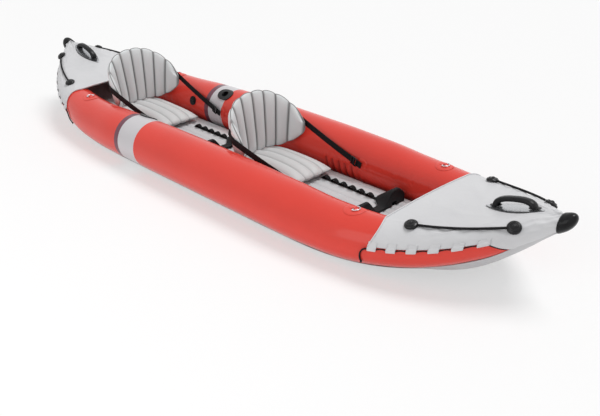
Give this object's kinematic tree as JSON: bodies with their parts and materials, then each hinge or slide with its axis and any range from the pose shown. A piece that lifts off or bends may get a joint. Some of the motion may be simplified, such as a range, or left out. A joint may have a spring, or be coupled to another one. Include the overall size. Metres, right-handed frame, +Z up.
{
  "type": "inflatable tandem kayak",
  "caption": "Inflatable tandem kayak with air-filled side chambers, laced deck covers, padded seats with strapped backrests, sliding footrests, rod holders and carry handles.",
  "frame": {"origin": "on the floor below the middle of the hull", "axes": "+X to the bow, +Y to port, +Z up"},
  "size_m": [3.84, 0.98, 0.484],
  "materials": {
    "red_pvc": "glossy coated fabric",
    "grey_pvc": "satin coated fabric",
    "cushion": "satin coated fabric, welded channels",
    "rubber": "smooth",
    "patch": "glossy silver",
    "steel": "bright",
    "cord": "braided",
    "webbing": "woven",
    "black_plastic": "satin moulded"
  },
  "bodies": {
    "hull": {"bottom_sheet": "grey_pvc", "bow_bosses": "black_plastic", "bow_deck_cover": "grey_pvc", "bow_handle": "black_plastic", "bow_handle_patch": "patch", "bow_nose_cap": "rubber", "bow_port_bungee": "cord", "bow_port_lacing": "cord", "bow_starboard_bungee": "cord", "bow_starboard_lacing": "cord", "floor_chamber": "grey_pvc", "floor_valve": "black_plastic", "front_cushion": "cushion", "front_footrest_webbing": "webbing", "front_port_strap": "webbing", "front_starboard_strap": "webbing", "port_chamber": "red_pvc", "port_rod_holder": "black_plastic", "port_valve": "black_plastic", "rear_cushion": "cushion", "rear_footrest_webbing": "webbing", "rear_port_strap": "webbing", "rear_starboard_strap": "webbing", "ring_patches": "red_pvc", "skeg_base": "black_plastic", "starboard_chamber": "red_pvc", "starboard_rod_holder": "black_plastic", "starboard_valve": "black_plastic", "stern_bosses": "black_plastic", "stern_deck_cover": "grey_pvc", "stern_handle": "black_plastic", "stern_handle_patch": "patch", "stern_nose_cap": "rubber", "stern_port_bungee": "cord", "stern_port_lacing": "cord", "stern_starboard_bungee": "cord", "stern_starboard_lacing": "cord", "strap_anchors": "webbing", "strap_buckles": "black_plastic"},
    "front_backrest": {"front_backrest": "cushion"},
    "rear_backrest": {"rear_backrest": "cushion"},
    "front_footrest": {"front_footrest": "webbing"},
    "rear_footrest": {"rear_footrest": "webbing"},
    "bow_port_ring": {"bow_port_ring": "steel"},
    "bow_starboard_ring": {"bow_starboard_ring": "steel"},
    "stern_port_ring": {"stern_port_ring": "steel"},
    "stern_starboard_ring": {"stern_starboard_ring": "steel"},
    "floor_valve_cap": {"floor_valve_cap": "black_plastic"},
    "port_valve_cap": {"port_valve_cap": "black_plastic"},
    "starboard_valve_cap": {"starboard_valve_cap": "black_plastic"}
  },
  "joints": [
    {"name": "front_backrest_lean", "type": "hinge", "parent": "hull", "child": "front_backrest", "pos_m": [0.063, 0, 0.13792], "axis": [0, -1, 0], "range_deg": [-10, 30], "deforming": ["front_port_strap", "front_starboard_strap"]},
    {"name": "rear_backrest_lean", "type": "hinge", "parent": "hull", "child": "rear_backrest", "pos_m": [-1.082, 0, 0.15198], "axis": [0, -1, 0], "range_deg": [-10, 30], "deforming": ["rear_port_strap", "rear_starboard_strap"]},
    {"name": "front_footrest_slide", "type": "slide", "parent": "hull", "child": "front_footrest", "axis": [1, 0, 0], "range_m": [-0.22, 0]},
    {"name": "rear_footrest_slide", "type": "slide", "parent": "hull", "child": "rear_footrest", "axis": [1, 0, 0], "range_m": [-0.22, 0.08]},
    {"name": "bow_port_ring_swing", "type": "hinge", "parent": "hull", "child": "bow_port_ring", "pos_m": [1.075, 0.33377, 0.26387], "axis": [-0.1004, -0.995, 0], "range_deg": [0, 165]},
    {"name": "bow_starboard_ring_swing", "type": "hinge", "parent": "hull", "child": "bow_starboard_ring", "pos_m": [1.075, -0.33377, 0.26387], "axis": [0.1004, -0.995, 0], "range_deg": [0, 165]},
    {"name": "stern_port_ring_swing", "type": "hinge", "parent": "hull", "child": "stern_port_ring", "pos_m": [-1.075, 0.33377, 0.26387], "axis": [-0.1004, 0.995, 0], "range_deg": [0, 165]},
    {"name": "stern_starboard_ring_swing", "type": "hinge", "parent": "hull", "child": "stern_starboard_ring", "pos_m": [-1.075, -0.33377, 0.26387], "axis": [0.1004, 0.995, 0], "range_deg": [0, 165]},
    {"name": "port_valve_cap_turn", "type": "hinge", "parent": "hull", "child": "port_valve_cap", "pos_m": [-0.79, 0.22513, 0.16718], "axis": [0.0002, -0.9659, 0.2588], "range_deg": [0, 90]},
    {"name": "starboard_valve_cap_turn", "type": "hinge", "parent": "hull", "child": "starboard_valve_cap", "pos_m": [-0.79, -0.22513, 0.16718], "axis": [0.0002, 0.9659, 0.2588], "range_deg": [0, 90]},
    {"name": "floor_valve_cap_turn", "type": "hinge", "parent": "hull", "child": "floor_valve_cap", "pos_m": [-1.15, 0, 0.09548], "axis": [0.1535, 0, 0.9882], "range_deg": [0, 90]}
  ]
}
